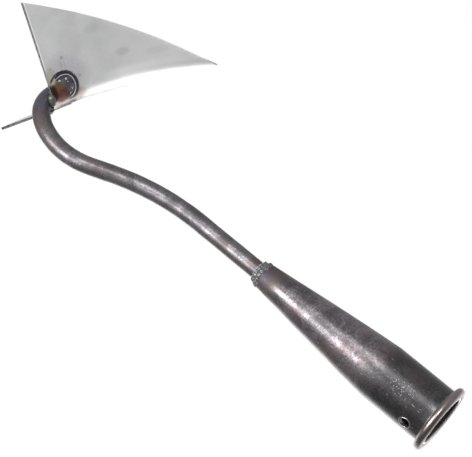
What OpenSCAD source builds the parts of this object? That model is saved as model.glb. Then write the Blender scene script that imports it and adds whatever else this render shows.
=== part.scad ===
// Swan-neck ridging hoe head: a folded V blade on a bent round neck with a tube socket for a wooden handle.
// The origin is the centre of the socket's mouth. +X leaves the mouth along the handle, and the blade hangs
// towards -Z. The X-Z plane is the plane of symmetry.

/* [Socket] */
// Length of the socket from the mouth to the end that takes the neck
socket_length = 143.5; // [120:0.5:185]
// Inside diameter of the mouth
bore_d = 34; // [27:0.5:42]
// Depth of the straight part of the bore
bore_depth = 45; // [36:0.5:56]
// Wall of the tube
wall = 2; // [1.6:0.1:2.6]
// Length of the swaged end that grips the neck
swage_length = 15; // [11:0.5:20]
// Wall of the swaged end at its tip
swage_wall = 2.6; // [2:0.1:3.2]
// Wall of the swaged end where the taper starts
swage_root_wall = 4.3; // [3.5:0.1:5.2]
// Diameter of the rolled bead round the mouth
bead_d = 5; // [4:0.1:6]
// Diameter of the hole for the handle screw
screw_hole_d = 7; // [5.5:0.1:8.5]
// Distance from the mouth to the centre of the screw hole
screw_hole_setback = 16; // [13:0.5:22]

/* [Neck] */
// Diameter of the neck rod
rod_d = 12; // [10:0.5:14.5]
// Clearance between the neck rod and the socket, on the radius
rod_clearance = 0.1; // [0.05:0.05:0.2]
// Length of rod inside the socket
rod_insert = 17; // [13:0.5:22]
// Straight run from the socket to the first bend
first_run = 55.7; // [44:0.1:68]
// Radius of the first bend, which turns away from the blade
rise_radius = 149; // [120:1:180]
// Angle of the first bend
rise_angle = 25.3; // [20:0.1:31]
// Straight run between the first bend and the hook
second_run = 15; // [12:0.5:20]
// Radius of the hook
hook_radius = 47.7; // [39:0.1:58]
// Angle of the hook
hook_angle = 66.3; // [55:0.1:80]
// Radius of the last bend, into the blade
heel_radius = 23; // [19:0.5:28]
// Angle of the last bend
heel_angle = 56.9; // [47:0.1:69]
// Straight run at the end of the rod, inside the blade
end_run = 9; // [7:0.5:11]

/* [Blade] */
// Thickness of the sheet
sheet = 1.8; // [1.4:0.1:2.3]
// Outside radius of the fold
fold_radius = 12.2; // [10:0.1:15]
// Angle between the two wings
wing_angle = 108.5; // [90:0.5:125]
// Length of the ridge, from the rear edge to the tip
ridge_length = 131.5; // [105:0.5:160]
// Radius to which the ridge is bowed
ridge_bow = 287; // [240:1:350]
// Width of each wing along its rear edge
wing_width = 76.4; // [62:0.1:92]
// How far the corner of each wing lies behind the ridge
rear_sweep = 3.2; // [0:0.1:5]
// How far the rod reaches into the blade
rod_reach = 17; // [14:0.5:21]

/* [Welds] */
// Radius of the bead round the neck at the socket
ring_bead_r = 3.2; // [2.6:0.1:3.8]
// Thickness of the weld round the rod inside the blade
seat_weld = 3.2; // [2.5:0.1:4]
// Radius of the tack welds at the rear edge of the fold
tack_r = 1.9; // [1.6:0.1:2.3]
// Radius of the burn-through mark on each wing
mark_radius = 8.6; // [7:0.1:10]
// Radius of the raised bead of the burn-through mark
mark_bead_r = 2; // [1.6:0.1:2.5]
// Height of the burn-through mark above the sheet
mark_height = 0.7; // [0.5:0.1:0.9]

/* [Hidden] */
$fn = 96;

rod_r = rod_d / 2;
bore_r = bore_d / 2;
tube_r = bore_r + wall;
bead_r = bead_d / 2;
neck_bore_r = rod_r + rod_clearance;
tip_r = neck_bore_r + swage_wall;            // outside of the socket at its neck end
root_r = neck_bore_r + swage_root_wall;      // outside of the socket where its taper starts
taper_start = bore_depth + wall;             // the outside taper starts a wall's width past the bore
taper_end = socket_length - swage_length;
inner_step = 4;                              // length of the inner step down to the neck's bore
bead_centre = tube_r - wall / 2 + bead_r + 0.3;  // the bead rolls clear of the middle of the wall
half_wing = wing_angle / 2;                  // from the plane of symmetry to one wing
fold_centre = fold_radius / sin(half_wing);  // from the sharp corner of the V to the fold's axis
inner_crest = fold_centre - fold_radius + sheet;
// The inside of the heel bears on the rear edge of the fold. This is how far the end of the rod's axis then
// lies from the sharp corner of the V.
rod_seat = inner_crest + heel_radius - sqrt(pow(heel_radius - rod_r, 2) - pow(rod_reach - end_run, 2));
slack = 12;                                  // length by which cutting shapes overrun
far = 2 * (wing_width + ridge_length);       // longer than the blade, for half spaces
outline_overrun = 1.15;                      // how far past the tip the wing's outline is drawn, as a ratio
arc_steps = 12;                              // straight cuts along the bowed outer edge of a wing
fold_steps = 14;                             // flats round the fold
rod_sides = 32;
bend_step = 6;                               // degrees of bend from one ring of the rod to the next
mark_along = 9.5;                            // centre of the mark, along the ridge from the rear edge
mark_across = 12.3;                          // centre of the mark, across the wing from the sharp corner
mark_from = -50;                             // the mark is open towards the rod
mark_to = 105;
mark_steps = 10;
tack_from = 18;                              // degrees round the fold from its crest to a tack's ends
tack_to = 34;
tack_steps = 4;
fillet_start = 3;                            // from the rear edge to where the inner weld begins
fillet_end_steps = 8;
weld_pitch = 2.2;                            // from one ripple of a weld to the next
ripple = 0.25;                               // how much every other ripple stands proud
weld_sides = 20;

// The neck's own frame starts at the mouth: z runs along the work and the hook bends towards +x.
module in_neck_frame() rotate([0, 90, 180]) children();

module past(length) translate([0, 0, length]) children();

// A pose on the neck's centre line is [x, z, heading], and the heading turns from +z towards +x.
function forward(p, length) = [p[0] + length * sin(p[2]), p[1] + length * cos(p[2]), p[2]];
function turned(p, radius, angle) =
    [p[0] + radius * (cos(p[2]) - cos(p[2] + angle)), p[1] + radius * (sin(p[2] + angle) - sin(p[2])),
     p[2] + angle];
function bend(p, radius, angle) =
    let (n = ceil(abs(angle) / bend_step)) [for (i = [0 : n]) turned(p, radius, angle * i / n)];

rod_start = [0, socket_length - rod_insert, 0];
rise_start = forward(rod_start, rod_insert + first_run);
rise_end = turned(rise_start, -rise_radius, -rise_angle);
hook_start = forward(rise_end, second_run);
heel_start = turned(hook_start, hook_radius, hook_angle);
heel_end = turned(heel_start, heel_radius, heel_angle);
rod_end = forward(heel_end, end_run);
heel_bend = bend(heel_start, heel_radius, heel_angle);
centre_line = concat([rod_start], bend(rise_start, -rise_radius, -rise_angle),
                     bend(hook_start, hook_radius, hook_angle),
                     [for (i = [1 : len(heel_bend) - 1]) heel_bend[i]], [rod_end]);

// The blade's frame: its origin is the sharp corner of the V at the rear edge and z runs down the ridge.
module in_blade_frame() translate([rod_end[0], 0, rod_end[1]]) rotate([0, rod_end[2], 0])
    translate([rod_seat, 0, -rod_reach]) children();

function ring(p) = [for (i = [0 : rod_sides - 1]) let (a = 360 * i / rod_sides, side = rod_r * cos(a))
    [p[0] + side * cos(p[2]), rod_r * sin(a), p[1] - side * sin(p[2])]];

module neck_shape() {
    rings = len(centre_line);
    points = [for (p = centre_line) each ring(p)];
    sides = [for (j = [0 : rings - 2], i = [0 : rod_sides - 1]) let (k = (i + 1) % rod_sides, n = j * rod_sides)
        each [[n + i, n + rod_sides + k, n + k], [n + i, n + rod_sides + i, n + rod_sides + k]]];
    ends = [[for (i = [0 : rod_sides - 1]) i],
            [for (i = [0 : rod_sides - 1]) rings * rod_sides - 1 - i]];
    polyhedron(points = points, faces = concat(sides, ends));
}

// Turns a flat profile about an axis at +x, so that its x becomes a radius and its y stays across.
module spin_about(radius, angle)
    translate([radius, 0, 0]) rotate([90, 0, 180]) rotate_extrude(angle = angle, $fn = 720) children();

// A V with a rounded fold, measured from its sharp corner: one side of the sheet, out to its free edge.
function vee(radius) =
    let (wing = [cos(half_wing), sin(half_wing)], run = wing_width + slack,
         start = [fold_centre - radius * sin(half_wing), radius * cos(half_wing)], open = 90 - half_wing)
    concat([start + run * wing],
           [for (i = [0 : fold_steps]) let (a = open * (1 - 2 * i / fold_steps))
               [fold_centre - radius * cos(a), radius * sin(a)]],
           [[start[0] + run * wing[0], -start[1] - run * wing[1]]]);
function reversed(list) = [for (i = [len(list) - 1 : -1 : 0]) list[i]];

module sheet_section() polygon(concat(vee(fold_radius), reversed(vee(fold_radius - sheet))));

module filled_section(radius) polygon(vee(radius));

function bow_angle(length) = length / ridge_bow * 180 / PI;

// Sweeps a section along the bowed ridge, between two distances from the rear edge.
module along_ridge(from, to)
    translate([ridge_bow, 0, 0]) rotate([0, bow_angle(from), 0]) translate([-ridge_bow, 0, 0])
        spin_about(ridge_bow, bow_angle(to - from)) translate([ridge_bow, 0]) children();

// A point of one wing, given along the ridge and across the wing, seen square to the wing at the rear edge.
function on_wing(along, across) =
    let (turn = bow_angle(along), r = ridge_bow + across * cos(half_wing))
    [r * sin(turn), (r * cos(turn) - ridge_bow) * cos(half_wing) + across * pow(sin(half_wing), 2)];

// The wing's outline: the rear edge, then the outer edge from the corner down past the tip.
function outer_edge(share) = on_wing(share * (ridge_length + rear_sweep) - rear_sweep, (1 - share) * wing_width);
outline = concat([on_wing(rear_sweep / 2, -wing_width / 2)],
                 [for (i = [0 : arc_steps]) outer_edge(outline_overrun * i / arc_steps)],
                 [on_wing(outline_overrun * ridge_length, -wing_width / 2)]);

// The wing's own plane: x runs down the ridge, y across the wing and z out of its outer face.
module in_wing_plane() multmatrix([[0, -cos(half_wing), sin(half_wing), 0],
                                   [0, sin(half_wing), cos(half_wing), 0],
                                   [1, 0, 0, 0]]) children();

module one_side() translate([-far / 2, 0, -far / 2]) cube([far, far, far]);

module wing_cut() intersection() {
    one_side();
    in_wing_plane() translate([0, 0, -far / 4]) linear_extrude(far / 2) polygon(outline);
}

module blade_solid() intersection() {
    along_ridge(-2 * slack, ridge_length + 2 * slack) sheet_section();
    for (side = [0, 1]) mirror([0, side, 0]) wing_cut();
}

module blade() color("#b9bbbd") in_neck_frame() in_blade_frame() blade_solid();

module neck_rod() color("#5a5356") in_neck_frame() neck_shape();

module socket_body() rotate_extrude() {
    polygon([[0, 0], [tube_r, 0], [tube_r, taper_start], [root_r, taper_end], [tip_r, socket_length],
             [0, socket_length]]);
    translate([bead_centre, bead_r]) circle(bead_r);
}

module socket() color("#4b4649") in_neck_frame() difference() {
    socket_body();
    past(-slack) cylinder(r = bore_r, h = bore_depth + slack);
    past(bore_depth) cylinder(r1 = bore_r, r2 = root_r - wall, h = taper_end - bore_depth - inner_step);
    past(taper_end - inner_step) cylinder(r1 = root_r - wall, r2 = neck_bore_r, h = inner_step);
    cylinder(r = neck_bore_r, h = socket_length + slack);
    past(screw_hole_setback) rotate([0, -90, 0]) cylinder(d = screw_hole_d, h = tube_r + bead_d);
}

// A rippled weld: ball after ball along a list of points, every other one a little larger.
module weld_run(points, radius) for (i = [0 : len(points) - 2]) hull() for (k = [i, i + 1])
    translate(points[k]) sphere(r = radius + ripple * (k % 2), $fn = weld_sides);

ring_steps = 2 * floor(PI * rod_r / weld_pitch);
ring_lift = 0.6 * ring_bead_r;               // from the socket's end to the middle of the bead
module socket_weld() color("#8b8a88") in_neck_frame() past(socket_length) difference() {
    weld_run([for (i = [0 : ring_steps]) let (a = 360 * i / ring_steps)
        [rod_r * cos(a), rod_r * sin(a), ring_lift]], ring_bead_r);
    past(-slack) cylinder(r = rod_r, h = 2 * slack, $fn = rod_sides);
    past(-slack) cylinder(r = rod_r + slack, h = slack);
}

// The fillet runs down one side of the rod, round its end and back up the other side.
fillet_out = rod_r + 0.3 * seat_weld;        // from the rod's axis to the middle of the bead
fillet_up = rod_seat - seat_weld;            // from the sharp corner of the V to the middle of the bead
fillet_sink = 0.6 * seat_weld;               // the bead drops into the fold where it rounds the rod's end
fillet_clear = 0.7 * seat_weld;              // and passes this far beyond it
side_steps = ceil((rod_reach - fillet_start) / weld_pitch);
fillet_side = [for (i = [0 : side_steps - 1])
    [-fillet_up, fillet_out, fillet_start + (rod_reach - fillet_start) * i / side_steps]];
fillet_round = [for (i = [0 : fillet_end_steps]) let (a = 180 * i / fillet_end_steps)
    [fillet_sink * sin(a) - fillet_up, fillet_out * cos(a), rod_reach + fillet_clear * sin(a)]];
fillet_back = [for (p = reversed(fillet_side)) [p[0], -p[1], p[2]]];

module blade_weld() color("#77746f") in_neck_frame() difference() {
    in_blade_frame() intersection() {
        along_ridge(-slack, ridge_length / 2) filled_section(fold_radius - sheet);
        weld_run(concat(fillet_side, fillet_round, fillet_back), seat_weld);
    }
    neck_shape();
}

// A short tack on each side bridges the rod and the rear edge of the fold.
tack_middle = fold_radius - sheet / 2;
tack_rise = tack_r / 3;                      // the middle of a tack stands this far behind the rear edge
tack_points = [for (i = [0 : tack_steps]) let (a = tack_from + (tack_to - tack_from) * i / tack_steps)
    [tack_middle * cos(a) - fold_centre, tack_middle * sin(a), -tack_rise]];

module corner_welds() color("#7c807a") in_neck_frame() difference() {
    in_blade_frame() for (side = [0, 1]) mirror([0, side, 0]) weld_run(tack_points, tack_r);
    in_blade_frame() along_ridge(0, ridge_length / 2) filled_section(fold_radius);
    in_blade_frame() blade_solid();
    neck_shape();
}

// Raised C-shaped mark where the inner weld burnt through a wing, seen square to the wing.
mark_points = [for (i = [0 : mark_steps]) let (a = mark_from + (mark_to - mark_from) * i / mark_steps)
    [mark_along + mark_radius * cos(a), mark_across + mark_radius * sin(a), mark_height - mark_bead_r]];

module weld_mark() in_neck_frame() in_blade_frame() difference() {
    in_wing_plane() weld_run(mark_points, mark_bead_r);
    along_ridge(-slack, ridge_length / 2) filled_section(fold_radius);
}

module weld_mark_left() color("#55575a") weld_mark();

module weld_mark_right() color("#55575a") mirror([0, 1, 0]) weld_mark();

blade();
neck_rod();
socket();
socket_weld();
blade_weld();
corner_welds();
weld_mark_left();
weld_mark_right();
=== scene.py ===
import math
import random

import bmesh
import bpy
from mathutils import Matrix, Vector


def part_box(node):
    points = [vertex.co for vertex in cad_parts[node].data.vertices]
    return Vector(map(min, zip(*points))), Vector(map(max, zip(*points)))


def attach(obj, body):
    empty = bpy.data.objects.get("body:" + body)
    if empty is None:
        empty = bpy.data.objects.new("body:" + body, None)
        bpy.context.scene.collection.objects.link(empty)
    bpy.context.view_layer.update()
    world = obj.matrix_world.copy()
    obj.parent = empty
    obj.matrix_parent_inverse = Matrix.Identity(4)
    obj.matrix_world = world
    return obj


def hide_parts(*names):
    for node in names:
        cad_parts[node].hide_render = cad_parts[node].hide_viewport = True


# Swan-neck ridging hoe head: folded blade, bent round neck, tube socket and the welds between them.
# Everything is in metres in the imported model's frame: the mouth of the socket is the origin, the handle
# leaves it along +X, and the blade hangs towards -Z.

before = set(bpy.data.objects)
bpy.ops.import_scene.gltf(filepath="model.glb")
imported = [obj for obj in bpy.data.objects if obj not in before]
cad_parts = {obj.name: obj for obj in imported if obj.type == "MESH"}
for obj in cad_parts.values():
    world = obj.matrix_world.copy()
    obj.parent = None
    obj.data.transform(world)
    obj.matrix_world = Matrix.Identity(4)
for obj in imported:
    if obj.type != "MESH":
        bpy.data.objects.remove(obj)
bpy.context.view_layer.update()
bpy.ops.object.select_all(action="DESELECT")
mm = 0.001
weldRandom = random.Random(7)


# Work on one object at a time

def only(obj):
    bpy.ops.object.select_all(action="DESELECT")
    obj.select_set(True)
    bpy.context.view_layer.objects.active = obj


def enter(obj, kind="VERT"):
    only(obj)
    bpy.ops.object.mode_set(mode="EDIT")
    bpy.ops.mesh.select_mode(type=kind)


def leave():
    bpy.ops.object.mode_set(mode="OBJECT")


def choose(obj, kind, test):
    bpy.ops.mesh.select_all(action="DESELECT")
    mesh = bmesh.from_edit_mesh(obj.data)
    for item in getattr(mesh, kind):
        if test(item):
            item.select_set(True)
    bmesh.update_edit_mesh(obj.data)


def applyPlace(obj):
    only(obj)
    bpy.ops.object.transform_apply(location=True, rotation=True, scale=True)


def modify(obj, kind, **settings):
    modifier = obj.modifiers.new(kind, kind)
    for key, value in settings.items():
        setattr(modifier, key, value)
    only(obj)
    bpy.ops.object.modifier_apply(modifier=modifier.name)


def roughen(obj, size, strength, level=0.5):
    # Slight unevenness in the surface itself. A higher level leaves more of it below the true surface.
    texture = bpy.data.textures.new("unevenness", "CLOUDS")
    texture.noise_scale = size
    texture.noise_depth = 2
    modify(obj, "DISPLACE", texture=texture, texture_coords="LOCAL", strength=strength, mid_level=level)


def pointOutwards(obj):
    enter(obj)
    bpy.ops.mesh.select_all(action="SELECT")
    bpy.ops.mesh.normals_make_consistent(inside=False)
    leave()


def smoothShade(obj, degrees=35):
    only(obj)
    bpy.ops.object.shade_smooth_by_angle(angle=math.radians(degrees))


def startPoint(name, place):
    # One vertex to draw an outline from
    bpy.ops.mesh.primitive_plane_add(size=mm, location=place)
    obj = bpy.context.object
    obj.name = name
    applyPlace(obj)
    enter(obj)
    bpy.ops.mesh.select_all(action="SELECT")
    bpy.ops.mesh.merge(type="CENTER")
    return obj


def coat(obj, *materials):
    for material in materials:
        obj.data.materials.append(material)


def hand(obj, slot, *nodes):
    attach(obj, "root")
    if nodes:
        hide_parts(*nodes)


# Neck route: straight runs and bends in the X-Z plane. A heading of 0 points along -X and turns towards -Z.

neck = {
    "rodRadius": 6 * mm,
    "start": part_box("neck_rod")[1].x,
    "toRise": 72.7 * mm,
    "rise": (-149 * mm, math.radians(25.3), 26),
    "toHook": 15 * mm,
    "hook": (47.7 * mm, math.radians(66.3), 30),
    "heel": (23 * mm, math.radians(56.9), 20),
    "toEnd": 9 * mm,
    "sides": 64,
    "ringEvery": 2.5 * mm,
    "endChamfer": 0.6 * mm,
    "rough": (9 * mm, 0.25 * mm, 0.68),
}


def headingVector(heading):
    return Vector((-math.cos(heading), 0, -math.sin(heading)))


def sideVector(heading):
    # Towards the inside of a bend of positive radius
    return Vector((math.sin(heading), 0, -math.cos(heading)))


def walkRun(place, heading, length):
    return place + headingVector(heading) * length, heading


def walkBend(place, heading, radius, angle):
    centre = place + sideVector(heading) * radius
    turned = heading + math.copysign(angle, radius)
    return centre - sideVector(turned) * radius, turned


def extrudeRun(place, heading, length, every):
    steps = max(1, round(length / every))
    for step in range(steps):
        move = headingVector(heading) * (length / steps)
        bpy.ops.mesh.extrude_region_move(TRANSFORM_OT_translate={"value": move})
    return walkRun(place, heading, length)


def spinBend(place, heading, radius, angle, steps):
    centre = place + sideVector(heading) * radius
    axis = (0, math.copysign(1, radius), 0)
    bpy.ops.mesh.spin(steps=steps, angle=angle, center=centre, axis=axis)
    return walkBend(place, heading, radius, angle)


def walkNeck():
    stops = [(Vector((neck["start"], 0, 0)), 0)]
    stops.append(walkRun(*stops[-1], neck["toRise"]))
    stops.append(walkBend(*stops[-1], *neck["rise"][:2]))
    stops.append(walkRun(*stops[-1], neck["toHook"]))
    stops.append(walkBend(*stops[-1], *neck["hook"][:2]))
    stops.append(walkBend(*stops[-1], *neck["heel"][:2]))
    stops.append(walkRun(*stops[-1], neck["toEnd"]))
    return stops


def makeNeck():
    sides = neck["sides"]
    bpy.ops.mesh.primitive_circle_add(vertices=sides, radius=neck["rodRadius"],
                                      location=(neck["start"], 0, 0), rotation=(0, -math.pi / 2, 0))
    obj = bpy.context.object
    obj.name = "neckRod"
    applyPlace(obj)
    enter(obj, "EDGE")
    bpy.ops.mesh.select_all(action="SELECT")
    now = (Vector((neck["start"], 0, 0)), 0)
    now = extrudeRun(*now, neck["toRise"], neck["ringEvery"])
    now = spinBend(*now, *neck["rise"])
    now = extrudeRun(*now, neck["toHook"], neck["ringEvery"])
    now = spinBend(*now, *neck["hook"])
    now = spinBend(*now, *neck["heel"])
    now = extrudeRun(*now, neck["toEnd"], neck["ringEvery"])
    bpy.ops.mesh.edge_face_add()
    bpy.ops.mesh.bevel(offset=neck["endChamfer"], segments=3, affect="EDGES")
    choose(obj, "edges", lambda edge: edge.is_boundary)
    bpy.ops.mesh.edge_face_add()
    leave()
    pointOutwards(obj)
    roughen(obj, *neck["rough"])
    smoothShade(obj)
    return obj


# Blade: half of the V is drawn unbowed with its sharp corner at the origin, x out of the V, y across and
# z down the ridge. It is trimmed to its outline, mirrored, thickened, bowed and then put in its place.

blade = {
    "sheet": 1.8 * mm,
    "foldRadius": 12.2 * mm,
    "halfAngle": math.radians(54.25),
    "ridge": 131.5 * mm,
    "tip": 129.3 * mm,
    "bow": 287 * mm,
    "wing": 76.4 * mm,
    "sweep": 3.2 * mm,
    "rodReach": 17 * mm,
    "spare": 12 * mm,
    "foldSteps": 9,
    "rows": 70,
    "columns": 30,
    "edgeRound": 0.22 * mm,
    "rough": (38 * mm, 0.35 * mm),
}
foldCentre = blade["foldRadius"] / math.sin(blade["halfAngle"])
foldTangent = blade["foldRadius"] / math.tan(blade["halfAngle"])
wingAcross = Vector((-math.cos(blade["halfAngle"]), math.sin(blade["halfAngle"]), 0))
wingNormal = Vector((math.sin(blade["halfAngle"]), math.cos(blade["halfAngle"]), 0))


def bladeMatrix():
    # The inside of the heel bears on the rear edge of the fold, which sets how deep the rod sits
    heel = neck["heel"][0]
    crest = foldCentre - blade["foldRadius"] + blade["sheet"]
    past = blade["rodReach"] - neck["toEnd"]
    seat = crest + heel - math.sqrt((heel - neck["rodRadius"]) ** 2 - past ** 2)
    end, heading = walkNeck()[-1]
    down, out = headingVector(heading), sideVector(heading)
    corner = end + out * seat - down * blade["rodReach"]
    turn = Matrix((out, down.cross(out), down)).transposed().to_4x4()
    return Matrix.Translation(corner) @ turn, seat


bladePlace, rodSeat = bladeMatrix()


def bowed(place):
    turn = place.z / blade["bow"]
    reach = blade["bow"] - place.x
    return Vector((blade["bow"] - reach * math.cos(turn), place.y, reach * math.sin(turn)))


def onWing(along, across, side):
    # A point on the outer face of a wing, in the frame, and the face's normal there
    fall = max(0.0, foldTangent - across)
    radius = blade["foldRadius"]
    drop = math.sqrt(radius ** 2 - fall ** 2) - radius
    normal = (wingNormal * (radius + drop) - wingAcross * fall) / radius
    flat = wingAcross * across + wingNormal * drop
    turn = Matrix.Rotation(along / blade["bow"], 3, "Y").transposed()
    place = bowed(Vector((flat.x, flat.y * side, along)))
    normal = turn @ Vector((normal.x, normal.y * side, 0))
    return bladePlace @ place, bladePlace.to_3x3() @ normal


def trim(along, across, outAlong, outAcross):
    normal = Vector((0, 0, outAlong)) + wingAcross * outAcross
    bpy.ops.mesh.select_all(action="SELECT")
    bpy.ops.mesh.bisect(plane_co=Vector((0, 0, along)) + wingAcross * across,
                        plane_no=normal.normalized(), clear_outer=True)


def drawSheetMap(obj):
    # Along and across the sheet, in centimetres
    layer = obj.data.uv_layers.new(name="sheet")
    for loop in obj.data.loops:
        place = obj.data.vertices[loop.vertex_index].co
        across = wingAcross.dot(Vector((place.x, abs(place.y), 0)))
        layer.data[loop.index].uv = (place.z * 100, math.copysign(across, place.y) * 100)


def makeBlade(faceSteel, cutSteel):
    spare = blade["spare"]
    length = blade["ridge"] + 2 * spare
    crest = blade["foldRadius"] - foldCentre
    bpy.ops.mesh.primitive_plane_add(size=length, rotation=(0, math.pi / 2, 0),
                                     location=(crest, length / 2, length / 2 - spare))
    obj = bpy.context.object
    obj.name = "bladeSheet"
    applyPlace(obj)
    enter(obj)
    choose(obj, "verts", lambda vert: vert.co.y > spare)
    bpy.ops.mesh.delete(type="VERT")
    bpy.ops.mesh.select_all(action="SELECT")
    bpy.ops.mesh.spin(steps=blade["foldSteps"], angle=math.pi / 2 - blade["halfAngle"],
                      center=(-foldCentre, 0, 0), axis=(0, 0, -1))
    run = wingAcross * (blade["wing"] - foldTangent + spare)
    bpy.ops.mesh.extrude_region_move(TRANSFORM_OT_translate={"value": run})
    bpy.ops.mesh.select_mode(type="EDGE")
    choose(obj, "edges", lambda edge: edge.calc_length() > length - mm)
    bpy.ops.mesh.subdivide(number_cuts=blade["rows"])
    choose(obj, "edges", lambda edge: abs(edge.calc_length() - run.length) < mm / 10)
    bpy.ops.mesh.subdivide(number_cuts=blade["columns"])
    trim(-blade["sweep"], blade["wing"], blade["wing"], blade["tip"] + blade["sweep"])
    trim(0, 0, -blade["wing"], -blade["sweep"])
    leave()
    modify(obj, "MIRROR", use_axis=(False, True, False), merge_threshold=mm / 50)
    enter(obj)
    bpy.ops.mesh.select_all(action="SELECT")
    bpy.ops.mesh.normals_make_consistent(inside=False)
    if bmesh.from_edit_mesh(obj.data).faces[:][0].normal.x < 0:
        bpy.ops.mesh.flip_normals()
    leave()
    drawSheetMap(obj)
    coat(obj, faceSteel, cutSteel)
    modify(obj, "SOLIDIFY", thickness=blade["sheet"], offset=-1, use_even_offset=True,
           material_offset_rim=1)
    modify(obj, "BEVEL", width=blade["edgeRound"], segments=2, limit_method="ANGLE",
           angle_limit=math.radians(50))
    heights = [vert.co.z for vert in obj.data.vertices]
    modify(obj, "SIMPLE_DEFORM", deform_method="BEND", deform_axis="Y",
           angle=(max(heights) - min(heights)) / blade["bow"])
    roughen(obj, *blade["rough"])
    obj.matrix_world = bladePlace
    applyPlace(obj)
    smoothShade(obj)
    return obj


# Socket: its outline is drawn in the X-Z plane and spun about the X axis.

socket = {
    "length": 143.5 * mm,
    "bore": 17 * mm,
    "boreDepth": 45 * mm,
    "wall": 2 * mm,
    "rootX": 128.5 * mm,
    "rootRadius": 10.4 * mm,
    "tipRadius": 8.7 * mm,
    "innerStep": 4 * mm,
    "crown": 0.35 * mm,
    "beadRadius": 2.5 * mm,
    "beadCentre": 20.8 * mm,
    "beadFillet": 0.9 * mm,
    "mouthLip": 0.4 * mm,
    "mouthGroove": 0.9 * mm,
    "holeX": 16 * mm,
    "holeRadius": 3.5 * mm,
    "flare": 0.2 * mm,
    "lipRadius": 0.36 * mm,
    "neckClearance": 0.1 * mm,
    "drillDepth": 8 * mm,
    "taperSteps": 12,
    "sides": 144,
    "smoothAngle": 40,
}


def arc(x, z, radius, start, end, steps):
    angles = [math.radians(start + (end - start) * step / steps) for step in range(steps + 1)]
    return [(x + radius * math.cos(angle), z + radius * math.sin(angle)) for angle in angles]


def socketOutline():
    tube = socket["bore"] + socket["wall"]
    bead, beadZ = socket["beadRadius"], socket["beadCentre"]
    fillet = socket["beadFillet"]
    taperX = socket["boreDepth"] + socket["wall"]
    lip, groove = socket["mouthLip"], socket["mouthGroove"]
    points = arc(-lip, socket["bore"] + lip, lip, -90, 90, 8)
    points += [(-groove, socket["bore"] + 3 * lip), (-groove, beadZ - bead * 0.8)]
    points += arc(-bead, beadZ, bead, -50, 195, 22)
    points += arc(-2 * bead - fillet, tube + fillet, fillet, 330, 270, 5)
    points += [(-x * mm, tube) for x in (10, 14, 18, 24, 32, 40)]
    for step in range(socket["taperSteps"] + 1):
        share = step / socket["taperSteps"]
        x = taperX + (socket["rootX"] - taperX) * share
        z = tube + (socket["rootRadius"] - tube) * share + socket["crown"] * math.sin(math.pi * share)
        points.append((-x, z))
    points += [(-socket["length"] + 1.2 * mm, socket["tipRadius"] + 0.15 * mm),
               (-socket["length"] + 0.3 * mm, socket["tipRadius"] - 0.2 * mm),
               (-socket["length"], socket["tipRadius"] - 0.9 * mm)]
    neckBore = neck["rodRadius"] + socket["neckClearance"]
    points += [(-socket["length"], neckBore), (-socket["rootX"], neckBore),
               (-socket["rootX"] + socket["innerStep"], socket["rootRadius"] - socket["wall"]),
               (-socket["boreDepth"], socket["bore"])]
    return points


def makeSocket():
    points = socketOutline()
    obj = startPoint("socketTube", (points[0][0], 0, points[0][1]))
    for before, after in zip(points, points[1:]):
        move = (after[0] - before[0], 0, after[1] - before[1])
        bpy.ops.mesh.extrude_region_move(TRANSFORM_OT_translate={"value": move})
    choose(obj, "verts", lambda vert: len(vert.link_edges) == 1)
    bpy.ops.mesh.edge_face_add()
    bpy.ops.mesh.select_all(action="SELECT")
    bpy.ops.mesh.spin(steps=socket["sides"], angle=math.tau, center=(0, 0, 0), axis=(1, 0, 0))
    bpy.ops.mesh.select_all(action="SELECT")
    bpy.ops.mesh.remove_doubles(threshold=mm / 100)
    bpy.ops.mesh.normals_make_consistent(inside=False)
    leave()
    return obj


def drillSocket(obj):
    # The screw hole flares where it breaks out of the tube
    tube = socket["bore"] + socket["wall"]
    hole, flare = socket["holeRadius"], socket["flare"]
    centre = (-socket["holeX"], 0)
    bpy.ops.mesh.primitive_cylinder_add(vertices=48, radius=hole, depth=socket["drillDepth"],
                                        location=(*centre, tube - socket["drillDepth"] / 2 - flare))
    drill = bpy.context.object
    applyPlace(drill)
    enter(drill, "FACE")
    choose(drill, "faces", lambda face: face.normal.z > 0.9)
    wide = 1 + 2 * flare / hole
    bpy.ops.mesh.extrude_region_move(TRANSFORM_OT_translate={"value": (0, 0, 2 * flare)})
    bpy.ops.transform.resize(value=(wide, wide, 1), center_override=(*centre, tube))
    bpy.ops.mesh.extrude_region_move(TRANSFORM_OT_translate={"value": (0, 0, 3 * mm)})
    leave()
    modify(obj, "BOOLEAN", object=drill, operation="DIFFERENCE", solver="EXACT")
    bpy.data.objects.remove(drill)
    bpy.ops.mesh.primitive_torus_add(major_segments=64, minor_segments=12, location=(*centre, tube),
                                     major_radius=hole + 1.3 * flare, minor_radius=socket["lipRadius"])
    lip = bpy.context.object
    applyPlace(lip)
    for vert in lip.data.vertices:  # the lip follows the curve of the tube
        vert.co.z -= tube - math.sqrt(tube ** 2 - vert.co.y ** 2) + socket["lipRadius"] * 0.45
    only(lip)
    obj.select_set(True)
    bpy.context.view_layer.objects.active = obj
    bpy.ops.object.join()


# Welds: overlapping beads melted together by a voxel remesh.

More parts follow.
